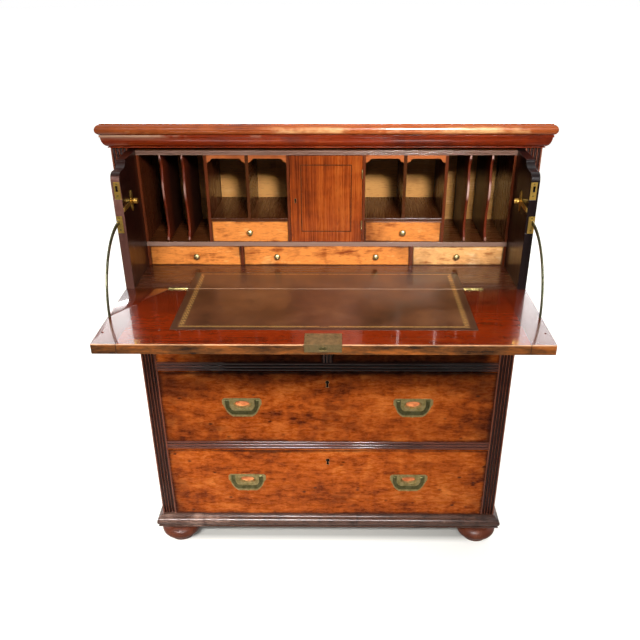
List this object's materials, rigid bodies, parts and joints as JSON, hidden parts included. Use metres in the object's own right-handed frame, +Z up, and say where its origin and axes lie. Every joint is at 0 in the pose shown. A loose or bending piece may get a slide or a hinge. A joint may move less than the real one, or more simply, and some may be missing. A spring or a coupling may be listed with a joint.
{
  "type": "secretary chest",
  "caption": "Campaign-style mahogany secretary chest with a pull-out writing drawer, hinged fall, pigeonholes, graduated drawers and bun feet.",
  "frame": {"origin": "bottom centre of the bounding box as stored, in the plane of the carcase face", "axes": "+Z up, +Y towards the back of the chest, +X to the right as seen from the front"},
  "size_m": [0.976, 0.83, 1.167],
  "materials": {
    "mahogany": "french polished",
    "dark_mahogany": "french polished",
    "light_mahogany": "waxed",
    "pale_wood": "bare",
    "brass": "aged",
    "leather": "tooled and gilt"
  },
  "bodies": {
    "carcase": {"top_board": "mahogany", "cornice_moulding": "mahogany", "side_panels": "mahogany", "pilasters": "mahogany", "front_rails": "mahogany", "drawer_upright": "mahogany", "dust_boards": "pale_wood", "drawer_guides": "pale_wood", "back_panel": "pale_wood", "plinth_moulding": "dark_mahogany", "bun_feet": "dark_mahogany"},
    "writing_drawer": {"writing_floor": "mahogany", "cheek_left": "mahogany", "cheek_right": "mahogany", "writing_back": "pale_wood", "unit_top": "mahogany", "unit_shelf": "mahogany", "unit_uprights": "mahogany", "pigeonhole_shelves": "light_mahogany", "letter_dividers": "mahogany", "valances": "light_mahogany", "floor_leather": "leather", "cheek_brasses": "brass", "floor_hinge_leaves": "brass"},
    "fall": {"fall_board": "mahogany", "fall_leather": "leather", "quadrant_stay_left": "brass", "quadrant_stay_right": "brass", "fall_lock": "brass", "fall_hinges": "brass"},
    "fall_lock_bolt": {"fall_bolt": "brass"},
    "catch_left": {"catch_knob_left": "brass"},
    "catch_right": {"catch_knob_right": "brass"},
    "cupboard": {"cupboard_door": "light_mahogany", "door_stringing": "pale_wood", "door_hinges": "brass"},
    "small_drawer_upper_left": {"upper_left_drawer": "light_mahogany", "small_knobs_upper_left": "brass"},
    "small_drawer_upper_right": {"upper_right_drawer": "light_mahogany", "small_knobs_upper_right": "brass"},
    "small_drawer_lower_left": {"lower_left_drawer": "light_mahogany", "small_knobs_lower_left": "brass"},
    "small_drawer_lower_middle": {"lower_middle_drawer": "light_mahogany", "small_knobs_lower_middle": "brass"},
    "small_drawer_lower_right": {"lower_right_drawer": "light_mahogany", "small_knobs_lower_right": "brass"},
    "drawer_short_left": {"short_drawer_left": "mahogany", "plate_short_left": "brass"},
    "drawer_short_right": {"short_drawer_right": "mahogany", "plate_short_right": "brass"},
    "drawer_long_upper": {"long_drawer_upper": "mahogany", "plates_long_upper": "brass"},
    "drawer_long_lower": {"long_drawer_lower": "mahogany", "plates_long_lower": "brass"},
    "handle_short_left": {"bail_short_left": "brass"},
    "handle_short_right": {"bail_short_right": "brass"},
    "handle_upper_left": {"bail_upper_left": "brass"},
    "handle_upper_right": {"bail_upper_right": "brass"},
    "handle_lower_left": {"bail_lower_left": "brass"},
    "handle_lower_right": {"bail_lower_right": "brass"}
  },
  "joints": [
    {"name": "writing_drawer_slide", "type": "slide", "parent": "carcase", "child": "writing_drawer", "axis": [0, -1, 0], "range_m": [-0.171, 0]},
    {"name": "fall_hinge", "type": "hinge", "parent": "writing_drawer", "child": "fall", "pos_m": [0, -0.151, 0.8504], "axis": [1, 0, 0], "range_deg": [-90, 0]},
    {"name": "lock_bolt_slide", "type": "slide", "parent": "fall", "child": "fall_lock_bolt", "axis": [0, -1, 0], "range_m": [0, 0.006]},
    {"name": "catch_left_slide", "type": "slide", "parent": "writing_drawer", "child": "catch_left", "axis": [1, 0, 0], "range_m": [0, 0.004], "stiffness_N_per_m": 300, "springref_m": -0.002},
    {"name": "catch_right_slide", "type": "slide", "parent": "writing_drawer", "child": "catch_right", "axis": [-1, 0, 0], "range_m": [0, 0.004], "stiffness_N_per_m": 300, "springref_m": -0.002},
    {"name": "cupboard_hinge", "type": "hinge", "parent": "writing_drawer", "child": "cupboard", "pos_m": [0.079, -0.0112, 0], "axis": [0, 0, 1], "range_deg": [0, 90]},
    {"name": "upper_left_slide", "type": "slide", "parent": "writing_drawer", "child": "small_drawer_upper_left", "axis": [0, -1, 0], "range_m": [0, 0.1]},
    {"name": "upper_right_slide", "type": "slide", "parent": "writing_drawer", "child": "small_drawer_upper_right", "axis": [0, -1, 0], "range_m": [0, 0.1]},
    {"name": "lower_left_slide", "type": "slide", "parent": "writing_drawer", "child": "small_drawer_lower_left", "axis": [0, -1, 0], "range_m": [0, 0.1]},
    {"name": "lower_middle_slide", "type": "slide", "parent": "writing_drawer", "child": "small_drawer_lower_middle", "axis": [0, -1, 0], "range_m": [0, 0.1]},
    {"name": "lower_right_slide", "type": "slide", "parent": "writing_drawer", "child": "small_drawer_lower_right", "axis": [0, -1, 0], "range_m": [0, 0.1]},
    {"name": "short_left_slide", "type": "slide", "parent": "carcase", "child": "drawer_short_left", "axis": [0, -1, 0], "range_m": [0, 0.28]},
    {"name": "short_right_slide", "type": "slide", "parent": "carcase", "child": "drawer_short_right", "axis": [0, -1, 0], "range_m": [0, 0.28]},
    {"name": "long_upper_slide", "type": "slide", "parent": "carcase", "child": "drawer_long_upper", "axis": [0, -1, 0], "range_m": [0, 0.28]},
    {"name": "long_lower_slide", "type": "slide", "parent": "carcase", "child": "drawer_long_lower", "axis": [0, -1, 0], "range_m": [0, 0.28]},
    {"name": "bail_short_left_hinge", "type": "hinge", "parent": "drawer_short_left", "child": "handle_short_left", "pos_m": [-0.221, 0.0017, 0.7155], "axis": [-1, 0, 0], "range_deg": [0, 80]},
    {"name": "bail_short_right_hinge", "type": "hinge", "parent": "drawer_short_right", "child": "handle_short_right", "pos_m": [0.221, 0.0017, 0.7155], "axis": [-1, 0, 0], "range_deg": [0, 80]},
    {"name": "bail_upper_left_hinge", "type": "hinge", "parent": "drawer_long_upper", "child": "handle_upper_left", "pos_m": [-0.221, 0.0017, 0.475], "axis": [-1, 0, 0], "range_deg": [0, 80]},
    {"name": "bail_upper_right_hinge", "type": "hinge", "parent": "drawer_long_upper", "child": "handle_upper_right", "pos_m": [0.221, 0.0017, 0.475], "axis": [-1, 0, 0], "range_deg": [0, 80]},
    {"name": "bail_lower_left_hinge", "type": "hinge", "parent": "drawer_long_lower", "child": "handle_lower_left", "pos_m": [-0.221, 0.0017, 0.233], "axis": [-1, 0, 0], "range_deg": [0, 80]},
    {"name": "bail_lower_right_hinge", "type": "hinge", "parent": "drawer_long_lower", "child": "handle_lower_right", "pos_m": [0.221, 0.0017, 0.233], "axis": [-1, 0, 0], "range_deg": [0, 80]}
  ]
}
